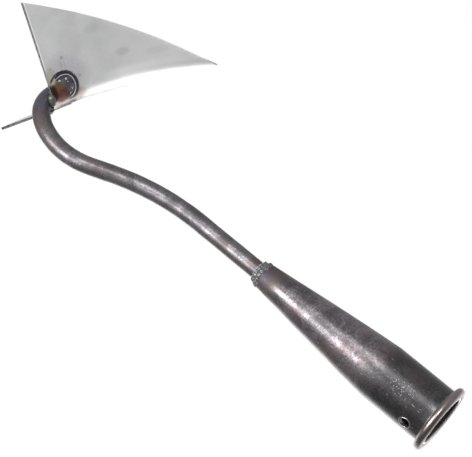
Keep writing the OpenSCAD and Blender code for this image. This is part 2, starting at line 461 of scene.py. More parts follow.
weld = {
    "voxel": 0.28 * mm,
    "lumpSize": 1.6 * mm,
    # Two passes round the neck: distance past the socket's end, distance off the axis, bead radius, beads
    "ringPasses": ((4.1 * mm, 5.4 * mm, 2.4 * mm, 16), (0.9 * mm, 6.3 * mm, 2.9 * mm, 17)),
    "seatRadius": 3.1 * mm,
    "seatRun": (3, 5, 7, 9, 11, 13, 15),
    "seatTurnSteps": 8,
    "tackRadius": 2.3 * mm,
    "tackAngles": (15, 20, 25, 30, 35),
    "markRadius": 8.6 * mm,
    "markBead": 2.2 * mm,
    "markHeight": 0.75 * mm,
    "markCentre": (9.5 * mm, 12.3 * mm),
    "leftStart": 5,
    "rightStart": -50,
    "markEnd": 105,
    "markBeads": 25,
    # The last beads of the horseshoe swell
    "markSwollen": 4,
    "markSwell": 1.35,
    # A pool beside the mark, and a splash of bright metal in its middle: along, across and size
    "poolCentre": (7.9 * mm, 20.2 * mm),
    "poolRadius": 3.0 * mm,
    "poolSpread": 2.7 * mm,
    "splash": ((12.4, 17.2, 0.7), (13.6, 15.2, 0.4), (14.6, 12.8, 0.38), (15.4, 10.2, 0.35)),
}


def melt(name, beads, voxel, rough):
    # Each bead is a place, a radius, a direction that it is flattened in and how flat it is
    pieces = []
    for place, radius, normal, flat in beads:
        bpy.ops.mesh.primitive_ico_sphere_add(subdivisions=3, radius=radius)
        bead = bpy.context.object
        turn = normal.to_track_quat("Z", "Y").to_matrix().to_4x4()
        bead.matrix_world = Matrix.Translation(place) @ turn @ Matrix.Diagonal((1, 1, flat, 1))
        applyPlace(bead)
        pieces.append(bead)
    for bead in pieces:
        bead.select_set(True)
    bpy.context.view_layer.objects.active = pieces[0]
    bpy.ops.object.join()
    obj = pieces[0]
    obj.name = name
    modify(obj, "REMESH", mode="VOXEL", voxel_size=voxel)
    modify(obj, "SMOOTH", factor=0.5, iterations=3)
    roughen(obj, weld["lumpSize"], rough)
    only(obj)
    bpy.ops.object.shade_smooth()
    return obj


def makeRingWeld():
    beads = []
    for past, out, radius, count in weld["ringPasses"]:
        for step in range(count):
            angle = math.tau * step / count
            size = radius * weldRandom.uniform(0.86, 1.08)
            x = -socket["length"] - past - weldRandom.uniform(-0.45, 0.45) * mm
            place = Vector((x, out * math.sin(angle), out * math.cos(angle)))
            beads.append((place, size, Vector((1, 0, 0.01)), 0.95))
    return melt("socketRingWeld", beads, weld["voxel"], 0.8 * mm)


def inBlade(x, y, z):
    return bladePlace @ Vector((x, y, z))


def makeSeatWeld():
    # Down one side of the rod, round its end and back up
    radius = weld["seatRadius"]
    out = neck["rodRadius"] + 0.3 * radius
    depth = radius - rodSeat
    reach = blade["rodReach"]
    beads = []
    turns = weld["seatTurnSteps"]
    route = [(depth, out, z * mm) for z in weld["seatRun"]]
    for step in range(turns + 1):
        angle = math.pi * step / turns
        route.append((depth + 0.6 * radius * math.sin(angle), out * math.cos(angle),
                      reach + 0.7 * radius * math.sin(angle)))
    route += [(depth, -out, z * mm) for z in reversed(weld["seatRun"])]
    for step, place in enumerate(route):
        size = radius * (1.03 if step % 2 else 0.93) * weldRandom.uniform(0.97, 1.03)
        beads.append((inBlade(*place), size, Vector((0, 1, 0)), 1.0))
    return melt("bladeSeatWeld", beads, weld["voxel"], 0.4 * mm)


def makeTacks():
    middle = blade["foldRadius"] - blade["sheet"] / 2
    radius = weld["tackRadius"]
    beads = []
    for side in (-1, 1):
        for degrees in weld["tackAngles"]:
            angle = math.radians(degrees)
            place = inBlade(middle * math.cos(angle) - foldCentre, side * middle * math.sin(angle),
                            -radius / 3)
            beads.append((place, radius * weldRandom.uniform(0.85, 1.08), Vector((0, 1, 0)), 1.0))
    return melt("rearTacks", beads, weld["voxel"] * 0.8, 0.2 * mm)


def makeBurnMark(name, side, start):
    # The inner weld burnt through here and left a raised horseshoe, open towards the rod
    along, across = weld["markCentre"]
    radius, height = weld["markRadius"], weld["markHeight"]
    last = weld["markBeads"] - 1
    beads = []
    for step in range(weld["markBeads"]):
        angle = math.radians(start + (weld["markEnd"] - start) * step / last)
        sway = radius * weldRandom.uniform(0.98, 1.02)
        swell = weld["markSwell"] if step > last - weld["markSwollen"] else 1
        size = weld["markBead"] * weldRandom.uniform(0.9, 1.0) * swell
        place, normal = onWing(along + sway * math.cos(angle), across + sway * math.sin(angle), side)
        beads.append((place, size, normal, height / size))
    place, normal = onWing(*weld["poolCentre"], side)
    beads.append((place, weld["poolRadius"], normal, height / weld["poolSpread"]))
    for along, across, size in weld["splash"]:
        place, normal = onWing(along * mm, across * mm, side)
        beads.append((place, size * mm, normal, 0.9))
    return melt(name, beads, weld["voxel"] * 0.7, 0.2 * mm)


spatter = {
    "onWing": 26,
    "onNeck": 12,
    "size": (0.18 * mm, 0.42 * mm),
    "reach": (9.5 * mm, 24 * mm),
    "spread": (-0.6, 2.2),
    "pastEnd": (5, 20),
    "flat": 0.7,
}


def makeSpatter():
    # Droplets thrown out round the burn marks and the neck's ring weld
    spots = []
    for step in range(spatter["onWing"]):
        side = -1 if step % 2 else 1
        angle, reach = weldRandom.uniform(*spatter["spread"]), weldRandom.uniform(*spatter["reach"])
        along = weld["markCentre"][0] + reach * math.cos(angle)
        across = weld["markCentre"][1] + reach * math.sin(angle)
        if across > foldTangent / 2:
            spots.append(onWing(along, across, side))
    for step in range(spatter["onNeck"]):
        angle = weldRandom.uniform(0, math.tau)
        normal = Vector((0, math.sin(angle), math.cos(angle)))
        past = Vector((-socket["length"] - weldRandom.uniform(*spatter["pastEnd"]) * mm, 0, 0))
        spots.append((past + normal * neck["rodRadius"], normal))
    drops = []
    for place, normal in spots:
        bpy.ops.mesh.primitive_ico_sphere_add(subdivisions=2, radius=weldRandom.uniform(*spatter["size"]))
        drop = bpy.context.object
        turn = normal.to_track_quat("Z", "Y").to_matrix().to_4x4()
        drop.matrix_world = Matrix.Translation(place) @ turn @ Matrix.Diagonal((1, 1, spatter["flat"], 1))
        applyPlace(drop)
        drops.append(drop)
    for drop in drops:
        drop.select_set(True)
    bpy.ops.object.join()
    obj = bpy.context.object
    obj.name = "weldSpatter"
    only(obj)
    bpy.ops.object.shade_smooth()
    return obj


# Shader building

def addNode(tree, kind, wires=None, **settings):
    node = tree.nodes.new("ShaderNode" + kind)
    for key, value in settings.items():
        setattr(node, key, value)
    for socketName, value in (wires or {}).items():
        if isinstance(value, bpy.types.NodeSocket):
            tree.links.new(value, node.inputs[socketName])
        else:
            node.inputs[socketName].default_value = value
    return node


def calc(tree, operation, first, second=0.0):
    return addNode(tree, "Math", {0: first, 1: second}, operation=operation).outputs[0]


def mixColor(tree, factor, first, second, blend="MIX"):
    node = addNode(tree, "Mix", {0: factor, 6: first, 7: second}, data_type="RGBA", blend_type=blend)
    return node.outputs[2]


def fade(tree, value, start, end, low=0.0, high=1.0):
    node = addNode(tree, "MapRange", {0: value, 1: start, 2: end, 3: low, 4: high},
                   interpolation_type="SMOOTHSTEP")
    return node.outputs[0]


def noise(tree, vector, scale, detail=4.0, rough=0.55, distortion=0.0):
    node = addNode(tree, "TexNoise", {"Vector": vector, "Scale": scale, "Detail": detail,
                                      "Roughness": rough, "Distortion": distortion})
    return node.outputs[0]


def stretch(tree, vector, scale, turn=(0, 0, 0)):
    return addNode(tree, "Mapping", {"Vector": vector, "Scale": scale, "Rotation": turn}).outputs[0]


def startGroup(name, inputs, outputs):
    group = bpy.data.node_groups.new(name, "ShaderNodeTree")
    for label, kind, value in inputs:
        made = group.interface.new_socket(label, in_out="INPUT", socket_type="NodeSocket" + kind)
        made.default_value = value
    for label, kind in outputs:
        group.interface.new_socket(label, in_out="OUTPUT", socket_type="NodeSocket" + kind)
    return group, group.nodes.new("NodeGroupInput").outputs, group.nodes.new("NodeGroupOutput").inputs


def useGroup(tree, group, wires):
    return addNode(tree, "Group", wires, node_tree=group).outputs


def makeMillScaleGroup():
    # Blue-black rolling scale, rubbed to bare grey steel in flecks
    tree, into, out = startGroup("millScale", [
        ("Vector", "Vector", (0, 0, 0)), ("Blotch", "Float", 90.0), ("Fleck", "Float", 900.0),
        ("Scale Color", "Color", (0.05, 0.047, 0.05, 1)), ("Worn Color", "Color", (0.2, 0.185, 0.19, 1)),
        ("Rust Color", "Color", (0.075, 0.048, 0.042, 1)), ("Wear", "Float", 0.5)],
        [("Color", "Color"), ("Roughness", "Float"), ("Height", "Float"), ("Metal", "Float")])
    blotch = noise(tree, into["Vector"], into["Blotch"], 5, 0.6, 0.4)
    fleck = noise(tree, into["Vector"], into["Fleck"], 3, 0.6)
    fine = noise(tree, into["Vector"], calc(tree, "MULTIPLY", into["Fleck"], 3.1), 2, 0.5)
    mixed = calc(tree, "ADD", calc(tree, "MULTIPLY", blotch, 0.6), calc(tree, "MULTIPLY", fleck, 0.4))
    level = calc(tree, "SUBTRACT", 0.78, calc(tree, "MULTIPLY", into["Wear"], 0.5))
    worn = fade(tree, calc(tree, "SUBTRACT", mixed, level), -0.1, 0.14)
    color = mixColor(tree, worn, into["Scale Color"], into["Worn Color"])
    slow = noise(tree, into["Vector"], calc(tree, "MULTIPLY", into["Blotch"], 0.55), 4)
    rust = fade(tree, slow, 0.5, 0.68)
    color = mixColor(tree, calc(tree, "MULTIPLY", rust, 0.25), color, into["Rust Color"])
    tree.links.new(color, out["Color"])
    roughness = calc(tree, "ADD", 0.27, calc(tree, "MULTIPLY", fleck, 0.26))
    roughness = calc(tree, "SUBTRACT", roughness, calc(tree, "MULTIPLY", worn, 0.08))
    tree.links.new(roughness, out["Roughness"])
    height = calc(tree, "ADD", calc(tree, "MULTIPLY", fleck, 0.7), calc(tree, "MULTIPLY", fine, 0.3))
    tree.links.new(height, out["Height"])
    tree.links.new(calc(tree, "ADD", 0.45, calc(tree, "MULTIPLY", worn, 0.4)), out["Metal"])
    return tree


def makePitGroup():
    # Round pits, thinned out by a slow noise
    group, into, out = startGroup("pits", [
        ("Vector", "Vector", (0, 0, 0)), ("Scale", "Float", 500.0), ("Amount", "Float", 0.5)],
        [("Mask", "Float"), ("Height", "Float")])
    cell = addNode(group, "TexVoronoi", {"Vector": into["Vector"], "Scale": into["Scale"]})
    patch = noise(group, into["Vector"], calc(group, "MULTIPLY", into["Scale"], 0.12), 2)
    size = calc(group, "MULTIPLY", calc(group, "ADD", patch, into["Amount"]), 0.32)
    pit = fade(group, calc(group, "SUBTRACT", cell.outputs["Distance"], size), -0.12, 0.0, 1.0, 0.0)
    keep = fade(group, addNode(group, "SeparateColor", {0: cell.outputs["Color"]}).outputs[0],
                0.55, 0.6)
    pit = calc(group, "MULTIPLY", pit, keep)
    group.links.new(pit, out["Mask"])
    group.links.new(calc(group, "MULTIPLY", pit, -1.0), out["Height"])
    return group


def makeScratchGroup():
    # Two sets of short bright nicks
    group, into, out = startGroup("scratches", [
        ("Vector", "Vector", (0, 0, 0)), ("Scale", "Float", 120.0), ("Amount", "Float", 0.5)],
        [("Mask", "Float")])
    total = None
    for turn, thin in (((0.3, 0.5, 0.7), 14.0), ((1.2, -0.4, -0.9), 9.0)):
        vector = stretch(group, into["Vector"], (1, thin, thin), turn)
        line = noise(group, vector, into["Scale"], 1, 0.4)
        level = calc(group, "SUBTRACT", 0.82, calc(group, "MULTIPLY", into["Amount"], 0.14))
        line = fade(group, calc(group, "SUBTRACT", line, level), -0.01, 0.02)
        total = line if total is None else calc(group, "MAXIMUM", total, line)
    group.links.new(total, out["Mask"])
    return group


def makeTintGroup():
    # Temper colours outwards from a weld: scorched, blue, purple, brown, straw
    group, into, out = startGroup("heatTint", [
        ("Vector", "Vector", (0, 0, 0)), ("Distance", "Float", 1.0), ("Base", "Color", (0.5, 0.5, 0.5, 1)),
        ("Strength", "Float", 1.0)],
        [("Color", "Color"), ("Mask", "Float")])
    wander = calc(group, "SUBTRACT", noise(group, into["Vector"], 110.0, 3), 0.5)
    place = calc(group, "ADD", into["Distance"], calc(group, "MULTIPLY", wander, 0.45))
    ramp = addNode(group, "ValToRGB", {0: place})
    stops = [(0.0, (0.03, 0.016, 0.015)), (0.2, (0.035, 0.018, 0.016)), (0.36, (0.022, 0.024, 0.045)),
             (0.52, (0.045, 0.03, 0.038)), (0.74, (0.06, 0.038, 0.03)), (1.0, (0.09, 0.075, 0.065))]
    elements = ramp.color_ramp.elements
    for spot, color in stops[1:-1]:
        elements.new(spot)
    for element, (spot, color) in zip(elements, stops):
        element.position = spot
        element.color = (*color, 1)
    mask = calc(group, "MULTIPLY", fade(group, place, 0.55, 1.05, 1.0, 0.0), into["Strength"])
    group.links.new(mixColor(group, mask, into["Base"], ramp.outputs[0]), out["Color"])
    group.links.new(mask, out["Mask"])
    return group


def makeGrainGroup():
    # Rolling grain down the sheet, with soft cloudy smudges over it
    group, into, out = startGroup("sheetGrain", [
        ("Vector", "Vector", (0, 0, 0)), ("Fine", "Float", 9.0), ("Cloud", "Float", 0.7)],
        [("Grain", "Float"), ("Clouds", "Float")])
    lines = noise(group, stretch(group, into["Vector"], (0.25, 9, 1)), into["Fine"], 3, 0.6)
    cross = noise(group, stretch(group, into["Vector"], (5, 0.6, 1)), into["Fine"], 2, 0.6)
    total = calc(group, "ADD", calc(group, "MULTIPLY", lines, 0.65), calc(group, "MULTIPLY", cross, 0.35))
    group.links.new(total, out["Grain"])
    group.links.new(noise(group, into["Vector"], into["Cloud"], 4, 0.55, 0.6), out["Clouds"])
    return group


def blob(tree, place, wander, centre, reach, soft):
    # A soft-edged patch with a wandering edge
    away = addNode(tree, "VectorMath", {0: place, 1: centre}, operation="SUBTRACT").outputs[0]
    away = addNode(tree, "VectorMath", {0: away, 1: reach}, operation="DIVIDE").outputs[0]
    share = addNode(tree, "VectorMath", {0: away}, operation="LENGTH").outputs["Value"]
    edge = calc(tree, "SUBTRACT", noise(tree, away, 1.6, 4, 0.6), 0.5)
    share = calc(tree, "ADD", share, calc(tree, "MULTIPLY", edge, 2 * wander))
    return fade(tree, share, 1 + soft / 2, 1 - soft / 2)


def startMaterial(name):
    material = bpy.data.materials.new(name)
    material.use_nodes = True
    tree = material.node_tree
    tree.nodes.clear()
    output = tree.nodes.new("ShaderNodeOutputMaterial")
    shader = tree.nodes.new("ShaderNodeBsdfPrincipled")
    tree.links.new(shader.outputs[0], output.inputs[0])
    place = tree.nodes.new("ShaderNodeTexCoord").outputs["Object"]
    return material, tree, shader, place


def bump(tree, shader, height, strength, distance):
    node = addNode(tree, "Bump", {"Height": height, "Strength": strength, "Distance": distance})
    tree.links.new(node.outputs[0], shader.inputs["Normal"])


def distanceTo(tree, place, point):
    # Distance from a point, in millimetres
    away = addNode(tree, "VectorMath", {0: place, 1: point}, operation="SUBTRACT").outputs[0]
    length = addNode(tree, "VectorMath", {0: away}, operation="LENGTH").outputs["Value"]
    return calc(tree, "MULTIPLY", length, 1000.0)


millScaleGroup = makeMillScaleGroup()
pitGroup = makePitGroup()
scratchGroup = makeScratchGroup()
tintGroup = makeTintGroup()
grainGroup = makeGrainGroup()
bladeCorner = inBlade(-foldCentre / 3, 0, 0)


def makeNeckSteel():
    material, tree, shader, place = startMaterial("neckSteel")
    scale = useGroup(tree, millScaleGroup, {
        "Vector": place, "Blotch": 95.0, "Fleck": 800.0, "Wear": 0.55,
        "Scale Color": (0.034, 0.032, 0.034, 1), "Worn Color": (0.12, 0.114, 0.12, 1)})
    ringEnd = calc(tree, "DIVIDE", distanceTo(tree, place, (-socket["length"], 0, 0)), 17.0)
    heelEnd = calc(tree, "DIVIDE", distanceTo(tree, place, bladeCorner), 30.0)
    near = calc(tree, "MINIMUM", ringEnd, heelEnd)
    tint = useGroup(tree, tintGroup, {"Vector": place, "Distance": near, "Base": scale["Color"],
                                      "Strength": 0.55})
    pits = useGroup(tree, pitGroup, {"Vector": place, "Scale": 700.0, "Amount": 0.35})
    nicks = useGroup(tree, scratchGroup, {"Vector": place, "Scale": 260.0, "Amount": 0.35})
    color = mixColor(tree, calc(tree, "MULTIPLY", pits["Mask"], 0.5), tint["Color"], (0.02, 0.018, 0.018, 1))
    color = mixColor(tree, calc(tree, "MULTIPLY", nicks["Mask"], 0.6), color, (0.5, 0.48, 0.48, 1))
    tree.links.new(color, shader.inputs["Base Color"])
    tree.links.new(calc(tree, "ADD", scale["Roughness"], 0.06), shader.inputs["Roughness"])
    tree.links.new(scale["Metal"], shader.inputs["Metallic"])
    height = calc(tree, "ADD", scale["Height"], calc(tree, "MULTIPLY", pits["Height"], 0.6))
    bump(tree, shader, height, 0.22, 0.0001)
    return material


# Where the socket's finish changes, each as the start and the end of a soft step. Along the axis unless
# it says otherwise; the hole's lip is in millimetres from the hole.
socketLook = {
    "coneStarts": (-38 * mm, -62 * mm),
    "coneEnds": (-138 * mm, -116 * mm),
    "bead": (-6.0 * mm, -4.4 * mm),
    "holeLip": (4.1, 4.5),
    "mouthLip": (-1.2 * mm, -0.6 * mm),
    "mouthLipOutward": (18.0 * mm, 17.7 * mm),
    "bore": (-0.6 * mm, -1.6 * mm),
    "boreOutward": (17.15 * mm, 17.02 * mm),
    "pepperedPlace": (-28.5 * mm, 15.2 * mm, 11.4 * mm),
    "pepperedReach": (9 * mm, 5 * mm, 5 * mm),
}


def makeSocketSteel():
    material, tree, shader, place = startMaterial("socketSteel")
    scale = useGroup(tree, millScaleGroup, {
        "Vector": place, "Blotch": 60.0, "Fleck": 750.0, "Wear": 0.5,
        "Scale Color": (0.02, 0.019, 0.0205, 1), "Worn Color": (0.1, 0.094, 0.099, 1)})
    weldEnd = calc(tree, "DIVIDE", distanceTo(tree, place, (-socket["length"], 0, 0)), 20.0)
    tint = useGroup(tree, tintGroup, {"Vector": place, "Distance": weldEnd, "Base": scale["Color"],
                                      "Strength": 0.9})
    pits = useGroup(tree, pitGroup, {"Vector": place, "Scale": 520.0, "Amount": 0.3})
    nicks = useGroup(tree, scratchGroup, {"Vector": place, "Scale": 200.0, "Amount": 0.35})
    parts = addNode(tree, "SeparateXYZ", {0: place}).outputs
    cone = calc(tree, "MULTIPLY", fade(tree, parts[0], *socketLook["coneStarts"]),
                fade(tree, parts[0], *socketLook["coneEnds"]))
    color = mixColor(tree, 1.0, tint["Color"],
                     mixColor(tree, cone, (0.62, 0.62, 0.62, 1), (1.5, 1.42, 1.48, 1)), "MULTIPLY")
    color = mixColor(tree, calc(tree, "MULTIPLY", pits["Mask"], 0.5), color, (0.012, 0.011, 0.011, 1))
    color = mixColor(tree, calc(tree, "MULTIPLY", nicks["Mask"], 0.5), color, (0.4, 0.39, 0.39, 1))
    # A patch of the tube is peppered with dark pits and bare flecks
    peppered = blob(tree, place, 0.35, socketLook["pepperedPlace"], socketLook["pepperedReach"], 0.7)
    dots = addNode(tree, "TexVoronoi", {"Vector": place, "Scale": 1150.0})
    dotKind = addNode(tree, "SeparateColor", {0: dots.outputs["Color"]}).outputs[0]
    dot = calc(tree, "MULTIPLY", fade(tree, dots.outputs["Distance"], 0.42, 0.3), peppered)
    bright = calc(tree, "MULTIPLY", dot, fade(tree, dotKind, 0.66, 0.7))
    dark = calc(tree, "MULTIPLY", dot, fade(tree, dotKind, 0.4, 0.36))
    color = mixColor(tree, calc(tree, "MULTIPLY", bright, 0.7), color, (0.22, 0.215, 0.22, 1))
    color = mixColor(tree, calc(tree, "MULTIPLY", dark, 0.85), color, (0.008, 0.008, 0.008, 1))
    # Bare rubbed metal on the lip of the screw hole. The rolled bead is rubbed bare and painted lighter,
    # partly painted light, and the inner lip of the mouth is worn and painted near white as a painted
    # highlight
    outward = addNode(tree, "VectorMath", {0: place, 1: (0, 1, 1)}, operation="MULTIPLY").outputs[0]
    outward = addNode(tree, "VectorMath", {0: outward}, operation="LENGTH").outputs["Value"]
    bead = fade(tree, parts[0], *socketLook["bead"])
    fromHole = distanceTo(tree, place, (-socket["holeX"], 0, 19 * mm))
    lip = fade(tree, fromHole, *socketLook["holeLip"], 1.0, 0.0)
    # Painted highlight: the inner lip of the mouth, painted near white
    mouth = calc(tree, "MULTIPLY", fade(tree, outward, *socketLook["mouthLipOutward"]),
                 fade(tree, parts[0], *socketLook["mouthLip"]))
    color = mixColor(tree, calc(tree, "MULTIPLY", bead, 0.65), color, (0.26, 0.225, 0.22, 1))
    color = mixColor(tree, calc(tree, "MULTIPLY", lip, 0.7), color, (0.3, 0.29, 0.29, 1))
    color = mixColor(tree, calc(tree, "MULTIPLY", mouth, 0.9), color, (0.75, 0.72, 0.71, 1))
    # Painted shade: the bore is darkened to a dark brown from just inside the mouth to its bottom
    inside = calc(tree, "MULTIPLY", fade(tree, outward, *socketLook["boreOutward"]),
                  fade(tree, parts[0], *socketLook["bore"]))
    inside = calc(tree, "MULTIPLY", inside, fade(tree, parts[0], -socket["boreDepth"] - 2 * mm,
                                                 -socket["boreDepth"] + 2 * mm))
    color = mixColor(tree, calc(tree, "MULTIPLY", inside, 0.75), color, (0.05, 0.032, 0.028, 1))
    tree.links.new(color, shader.inputs["Base Color"])
    roughness = calc(tree, "ADD", scale["Roughness"], calc(tree, "MULTIPLY", tint["Mask"], 0.25))
    tree.links.new(roughness, shader.inputs["Roughness"])
    metal = calc(tree, "MULTIPLY", scale["Metal"], calc(tree, "SUBTRACT", 1.0, calc(
        tree, "MULTIPLY", tint["Mask"], 0.6)))
    tree.links.new(calc(tree, "MAXIMUM", metal, calc(tree, "MAXIMUM", bead, lip)), shader.inputs["Metallic"])
    height = calc(tree, "ADD", scale["Height"], calc(tree, "MULTIPLY", pits["Height"], 0.8))
    height = calc(tree, "SUBTRACT", height, calc(tree, "MULTIPLY", dot, 0.8))
    bump(tree, shader, height, 0.22, 0.0001)
    return material


# Where the weld inside the V has coloured the sheet, in centimetres along and across a wing:
# centre, reach, edge softness, edge wander, color and strength
sheetHeat = (
    ((1.1, 1.6), (1.5, 1.55), 0.7, 0.2, (0.44, 0.42, 0.46), 0.55),
    ((0.2, 1.9), (0.4, 0.9), 0.7, 0.3, (0.42, 0.36, 0.28), 0.6),
    ((1.3, 0.3), (1.3, 0.6), 0.5, 0.3, (0.36, 0.3, 0.27), 0.85),
    ((1.5, 0.95), (0.62, 0.75), 0.4, 0.2, (0.1, 0.082, 0.1), 0.85),
    ((1.05, 1.5), (0.6, 0.5), 0.4, 0.25, (0.075, 0.078, 0.09), 0.85),
    ((0.6, 1.72), (0.22, 0.2), 0.4, 0.2, (0.09, 0.14, 0.13), 0.8),
    ((0.5, 1.2), (0.55, 0.5), 0.5, 0.3, (0.15, 0.085, 0.035), 0.9),
    ((0.75, 0.75), (0.6, 0.45), 0.5, 0.35, (0.11, 0.045, 0.03), 0.85),
    ((0.02, 1.1), (0.42, 0.62), 0.5, 0.3, (0.03, 0.014, 0.013), 0.95),
)
# Handling marks: centre, reach and how dark
sheetSmudges = (
    ((5.7, 2.3), (0.5, 0.25), 0.2), ((2.3, 1.65), (0.12, 0.1), 0.6), ((1.3, 3.2), (0.1, 0.12), 0.6),
    ((1.15, 2.75), (0.05, 0.4), 0.45), ((1.4, 2.6), (0.04, 0.32), 0.4), ((3.9, 4.4), (0.7, 0.3), 0.08),
    ((8.2, 1.9), (0.9, 0.25), 0.08), ((2.6, 5.6), (0.35, 0.6), 0.08),
)


# The black ring burnt round each mark, in centimetres from its middle, and where it opens near the fold
sheetRing = {
    "inside": (0.98, 1.04),
    "outside": (1.2, 1.12),
    "opening": (1.7, 2.2),
}


def makeBladeSteel():
    material, tree, shader = startMaterial("bladeSteel")[:3]
    sheet = addNode(tree, "UVMap", uv_map="sheet").outputs[0]
    parts = addNode(tree, "SeparateXYZ", {0: sheet}).outputs
    across = calc(tree, "ABSOLUTE", parts[1])
    flat = addNode(tree, "CombineXYZ", {0: parts[0], 1: across}).outputs[0]
    grain = useGroup(tree, grainGroup, {"Vector": sheet, "Fine": 5.0, "Cloud": 0.45})
    shade = calc(tree, "ADD", calc(tree, "MULTIPLY", grain["Grain"], 0.35),
                 calc(tree, "MULTIPLY", grain["Clouds"], 0.65))
    color = mixColor(tree, fade(tree, shade, 0.3, 0.7), (0.565, 0.567, 0.572, 1), (0.69, 0.693, 0.7, 1))
    # Painted sheen: the sheet is painted lighter towards the tip
    tipSheen = fade(tree, parts[0], 3.5, 10.5)
    color = mixColor(tree, calc(tree, "MULTIPLY", tipSheen, 0.85), color, (0.97, 0.97, 0.975, 1))
    for centre, reach, dark in sheetSmudges:
        patch = blob(tree, sheet, 0.4, (centre[0], -centre[1], 0), (*reach, 1), 0.8)
        color = mixColor(tree, calc(tree, "MULTIPLY", patch, dark), color, (0.2, 0.2, 0.21, 1))
    # The fold is painted near white, a painted reflection, and the rear edge has a painted highlight just
    # inside a painted shade along its cut edge
    fold = calc(tree, "MULTIPLY", fade(tree, across, 1.5, 0.9), fade(tree, parts[0], 3.0, 6.0))
    color = mixColor(tree, calc(tree, "MULTIPLY", fold, 0.7), color, (0.97, 0.97, 0.97, 1))
    fromRear = calc(tree, "ADD", parts[0], calc(tree, "MULTIPLY", across, blade["sweep"] / blade["wing"]))
    away = fade(tree, across, 2.0, 3.0)
    # Painted highlight: a bright line just inside the rear edge
    line = calc(tree, "MULTIPLY", fade(tree, fromRear, 0.04, 0.06), fade(tree, fromRear, 0.14, 0.1))
    color = mixColor(tree, calc(tree, "MULTIPLY", calc(tree, "MULTIPLY", line, away), 0.85), color,
                     (0.98, 0.98, 0.98, 1))
    # Painted shade: the rounded rear cut edge is painted dark
    edge = calc(tree, "MULTIPLY", fade(tree, fromRear, 0.05, 0.03), away)
    color = mixColor(tree, calc(tree, "MULTIPLY", edge, 0.7), color, (0.14, 0.14, 0.15, 1))
    scorch = 0.0
    for centre, reach, soft, wander, tint, strength in sheetHeat:
        patch = blob(tree, flat, wander, (*centre, 0), (*reach, 1), soft)
        patch = calc(tree, "MULTIPLY", patch, strength)
        color = mixColor(tree, patch, color, (*tint, 1))
        scorch = calc(tree, "MAXIMUM", scorch, patch)
    # A ring burnt black round the mark
    centre = (weld["markCentre"][0] * 100, weld["markCentre"][1] * 100, 0)
    fromMark = addNode(tree, "VectorMath", {0: flat, 1: centre}, operation="DISTANCE").outputs["Value"]
    wobble = calc(tree, "SUBTRACT", noise(tree, flat, 3.0, 3), 0.5)
    fromMark = calc(tree, "ADD", fromMark, calc(tree, "MULTIPLY", wobble, 0.14))
    ring = calc(tree, "MULTIPLY", fade(tree, fromMark, *sheetRing["inside"]),
                fade(tree, fromMark, *sheetRing["outside"]))
    fromCorner = calc(tree, "ADD", parts[0], across)
    ring = calc(tree, "MULTIPLY", ring, fade(tree, fromCorner, *sheetRing["opening"]))
    color = mixColor(tree, calc(tree, "MULTIPLY", ring, 0.9), color, (0.02, 0.02, 0.024, 1))
    scorch = calc(tree, "MAXIMUM", scorch, ring)
    speckle = fade(tree, noise(tree, sheet, 14.0, 3, 0.6), 0.58, 0.64)
    speckle = calc(tree, "MULTIPLY", speckle, calc(tree, "MULTIPLY", scorch, 0.8))
    color = mixColor(tree, speckle, color, (0.07, 0.04, 0.035, 1))
    tree.links.new(color, shader.inputs["Base Color"])
    shader.inputs["Metallic"].default_value = 1.0
    roughness = calc(tree, "ADD", 0.3, calc(tree, "MULTIPLY", grain["Grain"], 0.2))
    roughness = calc(tree, "ADD", roughness, calc(tree, "MULTIPLY", speckle, 0.3))
    tree.links.new(roughness, shader.inputs["Roughness"])
    bump(tree, shader, calc(tree, "ADD", grain["Grain"], speckle), 0.25, 0.00004)
    return material


def makeCutEdge():
    # Sheared faces round the sheet: streaky grey metal with darker grimy patches
    material, tree, shader, place = startMaterial("bladeCutEdge")
    drag = noise(tree, stretch(tree, place, (1, 1, 0.3)), 900.0, 3, 0.6)
    grime = noise(tree, place, 160.0, 3)
    color = mixColor(tree, fade(tree, drag, 0.42, 0.6), (0.17, 0.17, 0.18, 1), (0.4, 0.4, 0.41, 1))
    color = mixColor(tree, fade(tree, grime, 0.5, 0.65), color, (0.1, 0.085, 0.08, 1))
    tree.links.new(color, shader.inputs["Base Color"])
    shader.inputs["Metallic"].default_value = 1.0
    shader.inputs["Roughness"].default_value = 0.45
    bump(tree, shader, drag, 0.4, 0.00008)
    return material


def makeWeldMetal(name, dark, bright, level, toes=None):
    # Toes are the two edges of a ring weld, where a painted highlight runs along the bead's edges: its
    # middle and half its width
    material, tree, shader, place = startMaterial(name)
    slag = noise(tree, place, 420.0, 4, 0.65)
    fine = noise(tree, place, 1500.0, 3, 0.6)
    mask = calc(tree, "ADD", calc(tree, "MULTIPLY", slag, 0.7), calc(tree, "MULTIPLY", fine, 0.3))
    if toes:
        across = calc(tree, "ABSOLUTE", calc(tree, "SUBTRACT", addNode(
            tree, "SeparateXYZ", {0: place}).outputs[0], toes[0]))
        # Painted highlight: the bright mask is raised along both toes
        mask = calc(tree, "ADD", mask, fade(tree, across, toes[1] - 1.2 * mm, toes[1], 0.0, 0.3))
    mask = fade(tree, mask, level, level + 0.14)
    tree.links.new(mixColor(tree, mask, dark, bright), shader.inputs["Base Color"])
    tree.links.new(calc(tree, "ADD", 0.3, calc(tree, "MULTIPLY", fine, 0.3)), shader.inputs["Roughness"])
    tree.links.new(calc(tree, "ADD", 0.4, calc(tree, "MULTIPLY", mask, 0.6)), shader.inputs["Metallic"])
    bump(tree, shader, slag, 0.5, 0.0002)
    return material


# Bands on the raised mark, in millimetres from its middle
markBands = {
    "rim": (9.3, 9.8),
    "lineInside": (8.6, 8.85),
    "lineOutside": (9.35, 9.1),
    "flecks": (6.9, 6.6),
}


